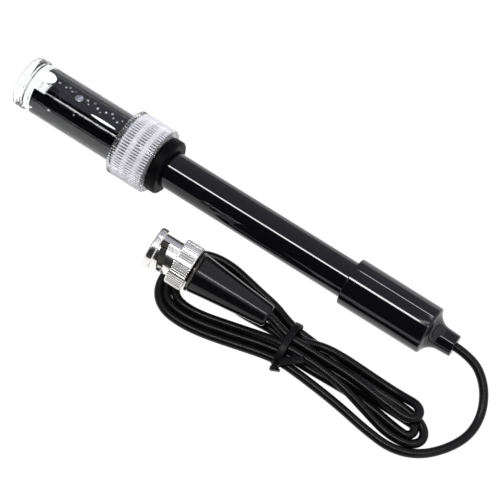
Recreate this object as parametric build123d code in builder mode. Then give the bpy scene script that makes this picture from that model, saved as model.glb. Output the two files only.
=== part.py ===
from build123d import *
import os
from math import atan2, cos, pi, radians, sin, sqrt, tan

# A combination pH electrode in its storage bottle, lying on a table beside its bundled lead.
# Millimetres, +Z up. The rod runs along X with its sensing tip towards -X and its handle towards +X.
# Along the rod, a place is its distance from the bottle cap's outer face, positive towards the handle.

# Body tube and its slotted tip guard
shaft_radius = 6.0
shaft_bore_radius = 4.5
tip_reach = 45.4
guard_slot_width = 3.4
guard_slot_depth = 8.0
guard_slot_turn = 14.3

# Glass stem with its sensing bulb
stem_radius = 2.5
glass_wall = 0.6
bulb_radius = 4.0
bulb_recess = 2.0

# Wires, seals and fillings inside the body tube
wire_radius = 0.4
reference_wire_radius = 0.3
reference_wire_offset = 3.5
reference_wire_tip = -8.0
junction_length = 3.0
tip_seal_length = 3.0
top_seal_length = 5.0
stopper_length = 4.0
buffer_fill = 52.0
fill_gap = 0.05
glue_gap = 0.02

# Handle, its flare and its cable neck
handle_start = 70.5
handle_length = 28.65
handle_front_radius = 7.8
handle_rear_radius = 7.7
handle_edge = 0.7
flare_root_radius = 6.9
flare_length = 4.5
neck_length = 4.0
neck_radius = 3.7
neck_end_radius = 3.5
socket_depth = 13.0
socket_floor_radius = 5.2
handle_roof = 3.0
neck_bore_radius = 1.7
cable_grip = 2.4
cable_straight = 6.0
lead_radius = 0.5
reference_lead_radius = 0.3
reference_lead_drop = 1.05
reference_lead_straight = 2.0
reference_lead_bend = 1.5

# Storage bottle, its ribbed cap, seals and solution
cap_radius = 11.0
cap_length = 13.1
cap_edge = 0.5
cap_roof = 2.2
cap_rib_count = 72
cap_rib_height = 0.35
cap_rib_width = 0.5
cap_bore_gap = 0.1
shaft_gap = 0.08
seal_thickness = 2.4
ring_radius = 9.2
ring_thickness = 3.9
ring_edge = 0.9
bottle_radius = 8.2
bottle_neck_radius = 8.9
bottle_wall = 1.3
bottle_foot_radius = 8.55
bottle_foot_length = 4.4
bottle_waist_radius = 7.7
bottle_waist_length = 1.2
bottle_edge = 0.7
bottle_floor = 4.6
tip_room = 1.5
solution_level = 9.0

# Lead: a tube from the handle, the hank, and the tail into the plug
cable_radius = 1.4
arc_share = 0.45
hank_layer = 2.8
hank_lift = 0.75
waist_start = 31.0
waist_end = 44.0
waist_middle_y = -25.9
waist_width = 14.0
waist_height = 5.6

# Twist tie round the hank
tie_x = 36.9
tie_width = 2.4
tie_thickness = 0.6
tie_gap = 0.05
knot_width = 2.2
knot_thickness = 1.1
knot_length = 3.2
knot_steps = 3
knot_twist = 135.0

# Bayonet plug, placed by the middle of its boot's cable end and its direction
boot_end = (27.9, -22.3, 5.4)
plug_rise = 10.4
plug_swing = 4.3
boot_length = 25.6
boot_radius = 6.3
boot_end_radius = 3.6
boot_edge = 0.5
collar_radius = 6.5
collar_thickness = 0.9
collar_gap = 0.6
coupling_length = 14.2
grip_length = 5.8
grip_radius = 7.4
grip_scallops = 40
scallop_radius = 0.28
grip_edge = 0.9
barrel_radius = 5.75
rim_length = 2.4
rim_radius = 6.75
coupling_bore_radius = 4.9
coupling_edge = 0.35
chamber_radius = 6.1
coupling_lip = 1.2
chamber_length = 3.7
bayonet_slot_width = 2.2
bayonet_turn = 95.0
bayonet_rise = 2.4
bayonet_start_angle = -86.0
detent_radius = 1.3
entry_depth = 1.0
plug_shank_radius = 4.1
plug_running_gap = 0.08
plug_flange_radius = 5.9
plug_flange_start = 3.4
plug_flange_length = 1.0
plug_barrel_radius = 4.05
plug_barrel_wall = 0.6
plug_barrel_end = 12.9
finger_slot_width = 0.5
finger_slot_length = 4.5
insulator_end = 6.6
contact_radius = 0.68
contact_end = 11.4
contact_start = -4.0
gasket_length = 1.0
gasket_gap = 0.1
washer_thickness = 0.3
washer_height = 0.9
retaining_thickness = 0.55
stub_radius = 3.1
stub_length = 6.0
ferrule_wall = 0.5
ferrule_length = 5.0
fit_gap = 0.03

# Route of the lead from the handle's neck to the hank, chosen by hand
lead_points = [
    (93.0, -4.6, 5.2),
    (97.2, -11.4, 2.3),
    (97.8, -19.4, 1.4),
    (94.2, -27.4, 1.4),
    (87.6, -33.8, 1.4),
    (79.4, -37.2, 1.4),
    (70.2, -37.0, 1.4),
    (61.8, -34.3, 1.4),
    (53.2, -32.6, 1.7),
]
lead_end = (41.8, -31.4, 2.2)

# Lobes of the hank, as circles whose hull is the outline: x, y, radius
left_lobe = [(4.0, -25.7, 14.2), (25.5, -25.2, 9.0)]
left_gap = [(13.5, -23.4, 2.0), (26.0, -22.4, 3.2)]
right_lobe = [(45.0, -24.4, 5.5), (77.5, -22.9, 4.8), (82.0, -28.7, 5.2)]

# Places that follow from the sizes above
handle_end = handle_start + handle_length
neck_end = handle_end + flare_length + neck_length
tip = -tip_reach
bottle_inside = tip - tip_room
bottle_end = bottle_inside - bottle_floor
rest_span = (handle_end - handle_edge) + cap_edge
tilt = atan2(cap_radius - handle_rear_radius, rest_span)
axis_height = cap_radius * cos(tilt) - cap_edge * sin(tilt)
low_reach = bottle_end * cos(tilt) - (bottle_foot_radius - bottle_edge) * sin(tilt)
high_reach = neck_end * cos(tilt) + neck_end_radius * sin(tilt)
rod_x = -(low_reach + high_reach) / 2

# The rod's own plane: local Z runs along the rod, local Y points up
rod = Plane(origin=(rod_x, 0, axis_height), x_dir=(0, 1, 0), z_dir=(cos(tilt), 0, -sin(tilt)))
rod_section = Plane(origin=rod.origin, x_dir=rod.z_dir, z_dir=-rod.x_dir)
rod_axis = Axis(rod.origin, rod.z_dir)

# The plug's own plane: local Z runs to the plug's open end, with its zero at the coupling's back face
plug_direction = Vector(
    -cos(radians(plug_rise)) * cos(radians(plug_swing)),
    -cos(radians(plug_rise)) * sin(radians(plug_swing)),
    sin(radians(plug_rise)),
)
boot_back = -(collar_gap + collar_thickness + boot_length)
plug_origin = Vector(*boot_end) - plug_direction * boot_back
plug_across = Vector(-sin(radians(plug_swing)), cos(radians(plug_swing)), 0)
plug = Plane(origin=plug_origin, x_dir=plug_across, z_dir=plug_direction)
plug_section = Plane(origin=plug.origin, x_dir=plug.z_dir, z_dir=-plug.x_dir)
plug_axis = Axis(plug.origin, plug.z_dir)

os.makedirs("parts", exist_ok=True)

# Rods and sleeves start at their plane and run along its normal
from_start = (Align.CENTER, Align.CENTER, Align.MIN)


def sleeve(plane, start, end, outer, bore=0.0):
    """A round rod, or a sleeve where it has a bore, along a plane's normal."""
    with BuildPart(plane.offset(start)) as piece:
        Cylinder(outer, end - start, align=from_start)
        if bore > 0:
            Cylinder(bore, end - start, align=from_start, mode=Mode.SUBTRACT)
    return piece.part


def turned(section, axis, outline):
    """A piece turned about an axis from a closed outline of places along it and radii."""
    with BuildPart() as piece:
        with BuildSketch(section):
            with BuildLine():
                Polyline(*outline, close=True)
            make_face()
        revolve(axis=axis)
    return piece.part


def finish(piece, name):
    """Labels a finished piece and writes it as its own file."""
    piece.label = name
    export_step(piece, f"parts/{name}.step")


# Body tube: one moulded tube, cut into four prongs round the bulb at its tip
tube_end = handle_start + socket_depth
with BuildPart(rod.offset(tip)) as body_tube:
    Cylinder(shaft_radius, tube_end - tip, align=from_start)
    Cylinder(shaft_bore_radius, tube_end - tip, align=from_start, mode=Mode.SUBTRACT)
    slot_run = guard_slot_depth - guard_slot_width / 2
    guard = rod.offset(tip).rotated((0, 0, guard_slot_turn))
    for side in (guard.x_dir, guard.y_dir):
        with BuildSketch(Plane(origin=guard.origin, x_dir=guard.z_dir, z_dir=side)):
            Rectangle(2 * slot_run, guard_slot_width)
            with Locations((slot_run, 0)):
                Circle(guard_slot_width / 2)
        extrude(amount=2 * shaft_radius, both=True, mode=Mode.SUBTRACT)
finish(body_tube.part, "body_tube")

# Glass stem: a thin tube blown into a closed bulb at the tip
bulb_middle = tip + bulb_recess + bulb_radius
stem_end = tube_end - top_seal_length + stopper_length / 2
stem_root = bulb_middle + sqrt(bulb_radius**2 - stem_radius**2)
bulb_inside = bulb_radius - glass_wall
bulb_nose = bulb_middle - bulb_radius
nose_inside = bulb_middle - bulb_inside
stem_inside = stem_radius - glass_wall
inside_root = bulb_middle + sqrt(bulb_inside**2 - stem_inside**2)
with BuildPart() as glass_stem:
    with BuildSketch(rod_section):
        with BuildLine():
            Line((stem_end, stem_radius), (stem_root, stem_radius))
            ThreePointArc((stem_root, stem_radius), (bulb_middle, bulb_radius), (bulb_nose, 0))
            Line((bulb_nose, 0), (nose_inside, 0))
            ThreePointArc((nose_inside, 0), (bulb_middle, bulb_inside), (inside_root, stem_inside))
            Line((inside_root, stem_inside), (stem_end, stem_inside))
            Line((stem_end, stem_inside), (stem_end, stem_radius))
        make_face()
    revolve(axis=rod_axis)
finish(glass_stem.part, "glass_stem")

# Buffer inside the glass, round the silver wire
wire_tip = bulb_middle
buffer_radius = stem_inside - fill_gap
buffer_bulb = bulb_inside - fill_gap
buffer_root = bulb_middle + sqrt(buffer_bulb**2 - buffer_radius**2)
buffer_end = bulb_middle + buffer_fill
buffer_nose = bulb_middle - buffer_bulb
with BuildPart() as inner_buffer:
    with BuildSketch(rod_section):
        with BuildLine():
            Line((buffer_end, 0), (buffer_end, buffer_radius))
            Line((buffer_end, buffer_radius), (buffer_root, buffer_radius))
            ThreePointArc((buffer_root, buffer_radius), (bulb_middle, buffer_bulb), (buffer_nose, 0))
            Line((buffer_nose, 0), (buffer_end, 0))
        make_face()
    revolve(axis=rod_axis)
    with BuildSketch(rod.offset(wire_tip - fill_gap)):
        Circle(wire_radius + fill_gap)
    extrude(amount=buffer_end - wire_tip + 2 * fill_gap, mode=Mode.SUBTRACT)
finish(inner_buffer.part, "inner_buffer")

# Silver wire on the axis, its stopper in the stem, and the lead that carries it on to the cable
cable_start = neck_end - cable_grip
wire_end = tube_end + socket_floor_radius / 2
finish(sleeve(rod, wire_tip, wire_end, wire_radius), "silver_wire")
stopper_start = stem_end - stopper_length
stopper_radius = stem_inside - glue_gap
finish(sleeve(rod, stopper_start, stem_end, stopper_radius, wire_radius + glue_gap), "stem_stopper")
finish(sleeve(rod, wire_end, cable_start, lead_radius), "signal_lead")

# Porous junction and soft seal between the glass and the tube, just above the bulb
junction_start = stem_root + glass_wall
junction_end = junction_start + junction_length
seal_end = junction_end + tip_seal_length
ring_outside = shaft_bore_radius - glue_gap
ring_inside = stem_radius + glue_gap
finish(sleeve(rod, junction_start, junction_end, ring_outside, ring_inside), "reference_junction")
finish(sleeve(rod, junction_end, seal_end, ring_outside, ring_inside), "tip_seal")

# Reference gel and top seal fill the tube round the stem, with the reference wire through both
seal_start = tube_end - top_seal_length
wire_origin = rod.from_local_coords((0, reference_wire_offset, 0))
wire_place = Plane(origin=wire_origin, x_dir=rod.x_dir, z_dir=rod.z_dir)
wire_hole = reference_wire_radius + glue_gap
with BuildPart(rod.offset(seal_end)) as reference_gel:
    gel_length = seal_start - seal_end
    Cylinder(shaft_bore_radius - fill_gap, gel_length, align=from_start)
    Cylinder(stem_radius + fill_gap, gel_length, align=from_start, mode=Mode.SUBTRACT)
    with BuildSketch(wire_place.offset(reference_wire_tip - fill_gap)):
        Circle(wire_hole)
    extrude(amount=seal_start - reference_wire_tip + 2 * fill_gap, mode=Mode.SUBTRACT)
finish(reference_gel.part, "reference_gel")

with BuildPart(rod.offset(seal_start)) as top_seal:
    Cylinder(ring_outside, top_seal_length, align=from_start)
    Cylinder(ring_inside, top_seal_length, align=from_start, mode=Mode.SUBTRACT)
    with BuildSketch(wire_place.offset(seal_start)):
        Circle(wire_hole)
    extrude(amount=top_seal_length, mode=Mode.SUBTRACT)
finish(top_seal.part, "top_seal")
finish(sleeve(wire_place, reference_wire_tip, wire_end, reference_wire_radius), "reference_wire")

# Reference lead: runs from the reference wire in towards the cable
neck_bore_start = handle_end - handle_roof
with BuildPart() as reference_lead:
    with BuildLine(rod_section) as lead_path:
        FilletPolyline(
            (wire_end, reference_wire_offset),
            (wire_end + reference_lead_straight, reference_wire_offset),
            (neck_bore_start, reference_lead_drop),
            (cable_start, reference_lead_drop),
            radius=reference_lead_bend,
        )
    with BuildSketch(Plane(origin=lead_path.line @ 0, z_dir=lead_path.line % 0)):
        Circle(reference_lead_radius)
    sweep(path=lead_path.line)
finish(reference_lead.part, "reference_lead")

# Handle: one moulding with a socket for the tube, a hollow for the leads, and a flared neck for the cable
flare_end = handle_end + flare_length
flare_drop = flare_root_radius - neck_radius
flare_radius = (flare_length**2 + flare_drop**2) / (2 * flare_drop)
socket_radius = shaft_radius + glue_gap
with BuildPart() as handle:
    with BuildSketch(rod_section):
        with BuildLine():
            Polyline(
                (flare_end, neck_radius),
                (neck_end, neck_end_radius),
                (neck_end, cable_radius + glue_gap),
                (cable_start, cable_radius + glue_gap),
                (cable_start, neck_bore_radius),
                (neck_bore_start, neck_bore_radius),
                (neck_bore_start, socket_floor_radius),
                (tube_end, socket_floor_radius),
                (tube_end, socket_radius),
                (handle_start, socket_radius),
                (handle_start, handle_front_radius),
                (handle_end - handle_edge, handle_rear_radius),
                (handle_end, handle_rear_radius - handle_edge),
                (handle_end, flare_root_radius),
            )
            RadiusArc((handle_end, flare_root_radius), (flare_end, neck_radius), -flare_radius)
        make_face()
    revolve(axis=rod_axis)
finish(handle.part, "handle")

# Storage bottle: a thick foot, a waist, the tube and a wider neck for the cap's thread
seal_face = -cap_roof - seal_thickness
neck_start = -cap_length - cap_edge
foot_end = bottle_end + bottle_foot_length
waist_top = foot_end + bottle_waist_length
bottle_bore = bottle_radius - bottle_wall
bottle_outline = [
    (bottle_end, 0),
    (bottle_end, bottle_foot_radius - bottle_edge),
    (bottle_end + bottle_edge, bottle_foot_radius),
    (foot_end - bottle_edge, bottle_foot_radius),
    (foot_end, bottle_waist_radius),
    (waist_top, bottle_waist_radius),
    (waist_top + bottle_edge, bottle_radius),
    (neck_start, bottle_radius),
    (neck_start + bottle_edge, bottle_neck_radius),
    (seal_face, bottle_neck_radius),
    (seal_face, bottle_bore),
    (bottle_inside, bottle_bore),
    (bottle_inside, 0),
]
finish(turned(rod_section, rod_axis, bottle_outline), "storage_bottle")

# Storage solution: fills the bottle round the electrode, with a straight way out for the rod
solution_outline = [
    (bottle_inside + fill_gap, 0),
    (bottle_inside + fill_gap, bottle_bore - fill_gap),
    (-solution_level, bottle_bore - fill_gap),
    (-solution_level, shaft_radius + fill_gap),
    (tip - fill_gap, shaft_radius + fill_gap),
    (tip - fill_gap, 0),
]
finish(turned(rod_section, rod_axis, solution_outline), "storage_solution")

# Bottle cap: fine ribs along its length for the fingers, a roof with a hole for the rod
rib_root = cap_radius - cap_rib_height
with BuildPart() as bottle_cap:
    with BuildSketch(rod.offset(-cap_length)):
        Circle(rib_root)
        with PolarLocations(rib_root, cap_rib_count, start_angle=-90):
            Rectangle(2 * cap_rib_height, cap_rib_width)
    extrude(amount=cap_length)
    for face_place, inward in ((0, -1), (-cap_length, 1)):
        with BuildSketch(rod_section):
            with BuildLine():
                Polyline(
                    (face_place, cap_radius + cap_edge),
                    (face_place, cap_radius - cap_edge),
                    (face_place + inward * 2 * cap_edge, cap_radius + cap_edge),
                    close=True,
                )
            make_face()
        revolve(axis=rod_axis, mode=Mode.SUBTRACT)
    with BuildSketch(rod.offset(-cap_length)):
        Circle(bottle_neck_radius + cap_bore_gap)
    extrude(amount=cap_length - cap_roof, mode=Mode.SUBTRACT)
    with BuildSketch(rod.offset(-cap_roof)):
        Circle(shaft_radius + shaft_gap)
    extrude(amount=cap_roof, mode=Mode.SUBTRACT)
finish(bottle_cap.part, "bottle_cap")

# Soft washer under the cap's roof and the rubber ring that grips the rod outside it
seal_radius = bottle_neck_radius - cap_bore_gap
finish(sleeve(rod, seal_face, -cap_roof, seal_radius, shaft_radius + shaft_gap), "cap_seal")
with BuildPart(rod) as shaft_ring:
    Cylinder(ring_radius, ring_thickness, align=from_start)
    Cylinder(shaft_radius + shaft_gap, ring_thickness, align=from_start, mode=Mode.SUBTRACT)
    fillet(shaft_ring.edges().filter_by(GeomType.CIRCLE).group_by(SortBy.RADIUS)[-1], radius=ring_edge)
finish(shaft_ring.part, "shaft_ring")

# Lead from the handle: straight runs and tangent arcs, each arc as large as its runs allow
lead_start = rod.from_local_coords((0, 0, cable_start))
lead_exit = rod.from_local_coords((0, 0, neck_end + cable_straight))
route = [lead_start, lead_exit] + [Vector(*point) for point in lead_points] + [Vector(*lead_end)]
runs = [after - before for before, after in zip(route, route[1:])]
radii = []
for before, after in zip(runs, runs[1:]):
    half_turn = radians(before.get_angle(after)) / 2
    radii.append(arc_share * min(before.length, after.length) / tan(half_turn))
print("lead arc radii:", [round(radius, 1) for radius in radii])
with BuildPart() as cable_run:
    with BuildLine() as lead_line:
        FilletPolyline(*route, radius=radii)
    with BuildSketch(Plane(origin=lead_line.line @ 0, z_dir=lead_line.line % 0)):
        Circle(cable_radius)
    sweep(path=lead_line.line)
    split(bisect_by=Plane.YZ.offset(waist_end), keep=Keep.TOP)
print("lead volume:", round(cable_run.part.volume, 1))
print("lead section times length:", round(pi * cable_radius**2 * lead_line.wire().length, 1))
finish(cable_run.part, "cable_run")

# Hank: two flat lobes, with a waist between them where the strands are tied
with BuildPart() as cable_hank:
    with BuildSketch():
        for x, y, radius in left_lobe:
            with Locations((x, y)):
                Circle(radius)
        make_hull()
    extrude(amount=hank_layer)
    with BuildSketch():
        for x, y, radius in left_gap:
            with Locations((x, y)):
                Circle(radius)
        make_hull()
    extrude(amount=hank_layer, mode=Mode.SUBTRACT)
    with BuildSketch():
        for x, y, radius in right_lobe:
            with Locations((x, y)):
                Circle(radius)
        make_hull()
    extrude(amount=2 * hank_layer)
    with BuildSketch(Plane.YZ.offset(waist_start)):
        with Locations((waist_middle_y, hank_lift + waist_height / 2)):
            Rectangle(waist_width, waist_height)
    extrude(amount=waist_end - waist_start)
finish(cable_hank.part, "cable_hank")

# Twist tie: a band round the waist, twisted to a short tail at one side
band_width = waist_width + 2 * tie_gap
band_height = waist_height + 2 * tie_gap
with BuildPart() as hank_tie:
    with BuildSketch(Plane.YZ.offset(tie_x - tie_width / 2)):
        with Locations((waist_middle_y, hank_lift + waist_height / 2)):
            Rectangle(band_width + 2 * tie_thickness, band_height + 2 * tie_thickness)
            Rectangle(band_width, band_height, mode=Mode.SUBTRACT)
    extrude(amount=tie_width)
    knot_start = waist_middle_y - band_width / 2 - tie_thickness
    for step in range(knot_steps + 1):
        with BuildSketch(Plane.XZ.offset(-knot_start + step * knot_length / knot_steps)):
            with Locations((tie_x, hank_lift + waist_height / 2)):
                Rectangle(knot_width, knot_thickness, rotation=step * knot_twist / knot_steps)
    loft()
finish(hank_tie.part, "hank_tie")

# Plug body: collar, shank, the flange that traps the coupling, and the slotted outer contact
collar_back = -(collar_gap + collar_thickness)
stub_end = collar_back - stub_length
barrel_bore = plug_barrel_radius - plug_barrel_wall
flange_end = plug_flange_start + plug_flange_length
plug_outline = [
    (stub_end, cable_radius + fit_gap),
    (stub_end, stub_radius),
    (collar_back, stub_radius),
    (collar_back, collar_radius),
    (-collar_gap, collar_radius),
    (-collar_gap, plug_shank_radius),
    (plug_flange_start, plug_shank_radius),
    (plug_flange_start, plug_flange_radius),
    (flange_end, plug_flange_radius),
    (flange_end, plug_barrel_radius),
    (plug_barrel_end, plug_barrel_radius),
    (plug_barrel_end, barrel_bore),
    (-collar_gap, barrel_bore),
    (-collar_gap, cable_radius + fit_gap),
]
with BuildPart() as bnc_body:
    with BuildSketch(plug_section):
        with BuildLine():
            Polyline(*plug_outline, close=True)
        make_face()
    revolve(axis=plug_axis)
    for side in (plug.x_dir, plug.y_dir):
        slot_place = plug.offset(plug_barrel_end - finger_slot_length / 2).origin
        with BuildSketch(Plane(origin=slot_place, x_dir=plug.z_dir, z_dir=side)):
            Rectangle(finger_slot_length, finger_slot_width)
        extrude(amount=2 * plug_barrel_radius, both=True, mode=Mode.SUBTRACT)
finish(bnc_body.part, "bnc_body")

# Insulator, centre contact and the soft gasket at the foot of the outer contact
insulator_radius = barrel_bore - fit_gap
contact_bore = contact_radius + fit_gap
finish(sleeve(plug, -collar_gap, insulator_end, insulator_radius, contact_bore), "bnc_insulator")
with BuildPart(plug.offset(contact_start)) as bnc_pin:
    Cylinder(contact_radius, contact_end - contact_start, align=from_start)
    chamfer(bnc_pin.faces().sort_by(plug_axis)[-1].edges(), length=contact_radius / 2)
finish(bnc_pin.part, "bnc_pin")
gasket_end = flange_end + gasket_length
gasket_outside = coupling_bore_radius - gasket_gap
gasket_inside = plug_barrel_radius + fit_gap
finish(sleeve(plug, flange_end, gasket_end, gasket_outside, gasket_inside), "bnc_gasket")

# Coupling: a turned nut with a scalloped grip, a barrel with two bayonet slots, and a front rim
barrel_end = coupling_length - rim_length
chamber_end = coupling_lip + chamber_length
lip_bore = plug_shank_radius + plug_running_gap
coupling_outline = [
    (0, lip_bore),
    (0, grip_radius - coupling_edge),
    (coupling_edge, grip_radius),
    (grip_length - coupling_edge, grip_radius),
    (grip_length, grip_radius - coupling_edge),
    (grip_length, barrel_radius),
    (barrel_end, barrel_radius),
    (barrel_end, rim_radius - coupling_edge),
    (barrel_end + coupling_edge, rim_radius),
    (coupling_length - coupling_edge, rim_radius),
    (coupling_length, rim_radius - coupling_edge),
    (coupling_length, coupling_bore_radius),
    (chamber_end, coupling_bore_radius),
    (chamber_end, chamber_radius),
    (coupling_lip, chamber_radius),
    (coupling_lip, lip_bore),
]
ramp_start = barrel_end - bayonet_slot_width / 2
wall_middle = (coupling_bore_radius + barrel_radius) / 2
wall_cut = 2 * (barrel_radius - coupling_bore_radius)
with BuildPart() as bnc_coupling:
    with BuildSketch(plug_section):
        with BuildLine():
            Polyline(*coupling_outline, close=True)
        make_face()
    revolve(axis=plug_axis)
    with BuildSketch(plug.offset(grip_edge)):
        with PolarLocations(grip_radius, grip_scallops):
            Circle(scallop_radius)
    extrude(amount=grip_length - 2 * grip_edge, mode=Mode.SUBTRACT)
    for half_turn in (0, 180):
        ramp_place = plug.offset(ramp_start).rotated((0, 0, bayonet_start_angle + half_turn))
        with BuildLine(ramp_place) as ramp:
            Helix(
                pitch=bayonet_rise * 360 / bayonet_turn,
                height=bayonet_rise,
                radius=wall_middle,
                direction=(0, 0, -1),
            )
        with BuildSketch(Plane(origin=ramp.line @ 0, x_dir=ramp_place.x_dir, z_dir=ramp.line % 0)):
            Rectangle(wall_cut, bayonet_slot_width)
        sweep(path=ramp.line, is_frenet=True, mode=Mode.SUBTRACT)
        detent_place = ramp.line @ 1
        detent_foot = plug_origin + plug.z_dir * (ramp_start - bayonet_rise)
        with BuildSketch(Plane(origin=detent_place, z_dir=detent_place - detent_foot)):
            Circle(detent_radius)
        extrude(amount=wall_cut, both=True, mode=Mode.SUBTRACT)
        with BuildSketch(ramp_place.offset(-bayonet_slot_width / 2)):
            with Locations((coupling_bore_radius, 0)):
                Rectangle(2 * entry_depth, bayonet_slot_width)
        extrude(amount=coupling_length, mode=Mode.SUBTRACT)
finish(bnc_coupling.part, "bnc_coupling")

# Spring washer and retaining ring between the coupling's lip and the plug's flange
washer_end = plug_flange_start - fit_gap
washer_start = washer_end - washer_height
washer_outline = [
    (washer_start, lip_bore),
    (washer_start + washer_thickness, lip_bore),
    (washer_end, plug_flange_radius),
    (washer_end - washer_thickness, plug_flange_radius),
]
finish(turned(plug_section, plug_axis, washer_outline), "bnc_spring_washer")
ring_end = coupling_lip + retaining_thickness
finish(sleeve(plug, coupling_lip, ring_end, plug_flange_radius, lip_bore), "bnc_retaining_ring")

# Crimp ferrule over the stub, the moulded boot over both, and the tail of the lead
ferrule_end = collar_back - fit_gap
ferrule_bore = stub_radius + fit_gap
ferrule_radius = ferrule_bore + ferrule_wall
finish(sleeve(plug, ferrule_end - ferrule_length, ferrule_end, ferrule_radius, ferrule_bore), "bnc_ferrule")
boot_start = collar_back - boot_length
boot_pocket = ferrule_radius + fit_gap
boot_outline = [
    (collar_back, boot_pocket),
    (collar_back, boot_radius - boot_edge),
    (collar_back - boot_edge, boot_radius),
    (boot_start + boot_edge, boot_end_radius),
    (boot_start, boot_end_radius - boot_edge),
    (boot_start, cable_radius + fit_gap),
    (stub_end - fit_gap, cable_radius + fit_gap),
    (stub_end - fit_gap, boot_pocket),
]
finish(turned(plug_section, plug_axis, boot_outline), "bnc_boot")
tail_reach = boot_start - 2 * (waist_start - boot_end[0])
with BuildPart(plug.offset(tail_reach)) as cable_tail:
    Cylinder(cable_radius, contact_start - tail_reach, align=from_start)
    split(bisect_by=Plane.YZ.offset(waist_start), keep=Keep.BOTTOM)
finish(cable_tail.part, "cable_tail")
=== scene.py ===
"""Dresses a pH electrode, its storage bottle and its bundled lead with a plug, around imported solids."""

import logging
from dataclasses import dataclass
from enum import Enum
from math import atan2, cos, pi, radians, sin, sqrt, tau
from typing import Any, Optional, Sequence, Union

import bpy
from mathutils import Matrix, Vector

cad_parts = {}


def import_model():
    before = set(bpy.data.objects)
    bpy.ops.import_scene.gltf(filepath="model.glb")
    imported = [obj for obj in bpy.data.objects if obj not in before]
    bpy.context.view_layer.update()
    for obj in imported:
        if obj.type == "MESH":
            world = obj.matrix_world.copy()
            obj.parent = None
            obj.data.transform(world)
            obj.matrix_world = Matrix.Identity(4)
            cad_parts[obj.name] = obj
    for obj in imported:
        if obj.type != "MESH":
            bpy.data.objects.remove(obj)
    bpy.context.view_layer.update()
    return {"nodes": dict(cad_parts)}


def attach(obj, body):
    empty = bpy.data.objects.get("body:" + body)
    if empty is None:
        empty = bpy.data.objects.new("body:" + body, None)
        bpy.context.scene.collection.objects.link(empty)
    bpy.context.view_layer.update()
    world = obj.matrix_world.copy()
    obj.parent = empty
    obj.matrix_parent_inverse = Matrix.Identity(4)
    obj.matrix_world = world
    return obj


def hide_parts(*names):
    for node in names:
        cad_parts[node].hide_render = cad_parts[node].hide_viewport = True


log = logging.getLogger("ph_electrode")

Point = tuple[float, float, float]
Ring = tuple[float, float]
Colour = tuple[float, float, float, float]
Piece = bpy.types.Object

MM = 0.001
WHITE: Colour = (1.0, 1.0, 1.0, 1.0)
MILK_IOR = 1.47
FINE_ROUND = 128


class Body(str, Enum):
    """The moving bodies that pieces ride on."""

    ELECTRODE = "electrode"
    CAP = "cap"
    RING = "ring"
    SOLUTION = "solution"
    BOTTLE = "bottle"
    COUPLING = "coupling"


class Wire:
    """A node's output socket, whose arithmetic adds Math nodes."""

    def __init__(self, graph: "Graph", socket: bpy.types.NodeSocket) -> None:
        """Keeps the socket and the graph that it belongs to."""
        self.graph = graph
        self.socket = socket

    def _math(self, operation: str, first: Any, second: Any) -> "Wire":
        """Adds one Math node on two values."""
        return self.graph.node("ShaderNodeMath", {"operation": operation}, {0: first, 1: second})

    def __add__(self, other: Any) -> "Wire":
        """This value plus another."""
        return self._math("ADD", self, other)

    def __radd__(self, other: Any) -> "Wire":
        """Another value plus this one."""
        return self._math("ADD", other, self)

    def __sub__(self, other: Any) -> "Wire":
        """This value less another."""
        return self._math("SUBTRACT", self, other)

    def __rsub__(self, other: Any) -> "Wire":
        """Another value less this one."""
        return self._math("SUBTRACT", other, self)

    def __mul__(self, other: Any) -> "Wire":
        """This value times another."""
        return self._math("MULTIPLY", self, other)

    def __rmul__(self, other: Any) -> "Wire":
        """Another value times this one."""
        return self._math("MULTIPLY", other, self)


class Graph:
    """A node tree that is written as expressions."""

    def __init__(self, tree: bpy.types.NodeTree) -> None:
        """Starts from an empty tree."""
        self.tree = tree
        self.tree.nodes.clear()

    def node(
        self,
        kind: str,
        settings: Optional[dict[str, Any]] = None,
        inputs: Optional[dict[Union[str, int], Any]] = None,
        output: Union[str, int] = 0,
    ) -> Wire:
        """Adds a node.

        Args:
            kind: the node's type.
            settings: its own settings, set first.
            inputs: a value or a wire for each named or numbered socket.
            output: the output that the wire carries on.

        Returns:
            The wire from the chosen output.
        """
        made = self.tree.nodes.new(kind)
        for key, value in (settings or {}).items():
            setattr(made, key, value)
        for key, value in (inputs or {}).items():
            if isinstance(value, Wire):
                self.tree.links.new(value.socket, made.inputs[key])
            else:
                made.inputs[key].default_value = value
        return Wire(self, made.outputs[output] if len(made.outputs) else None)

    def place(self) -> Wire:
        """The point on the surface, in metres in the shared frame."""
        return self.node("ShaderNodeTexCoord", output="Object")

    def noise(self, where: Wire, scale: float, detail: float = 3.0) -> Wire:
        """Soft noise at a scale per metre."""
        return self.node("ShaderNodeTexNoise", None, {"Vector": where, "Scale": scale, "Detail": detail})

    def along(self, where: Wire, direction: Point) -> Wire:
        """How far a point lies along a direction."""
        settings = {"operation": "DOT_PRODUCT"}
        return self.node("ShaderNodeVectorMath", settings, {0: where, 1: direction}, output="Value")

    def blend(self, share: Wire, first: Union[Wire, Colour], second: Colour) -> Wire:
        """A colour between two, by a share."""
        settings = {"data_type": "RGBA"}
        return self.node("ShaderNodeMix", settings, {0: share, 6: first, 7: second}, output=2)

    def ramp(self, value: Wire, low: float, high: float) -> Wire:
        """A smooth step from nought at low to one at high."""
        settings = {"interpolation_type": "SMOOTHSTEP"}
        return self.node("ShaderNodeMapRange", settings, {"Value": value, 1: low, 2: high})

    def bump(self, height: Wire, strength: float, depth: float) -> Wire:
        """A normal from a height, with its depth in metres."""
        return self.node("ShaderNodeBump", None, {"Strength": strength, "Distance": depth, "Height": height})

    def surface(self, inputs: dict[Union[str, int], Any]) -> None:
        """Ends a material's graph in a principled shader."""
        shader = self.node("ShaderNodeBsdfPrincipled", None, inputs)
        self.node("ShaderNodeOutputMaterial", None, {"Surface": shader})


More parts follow.
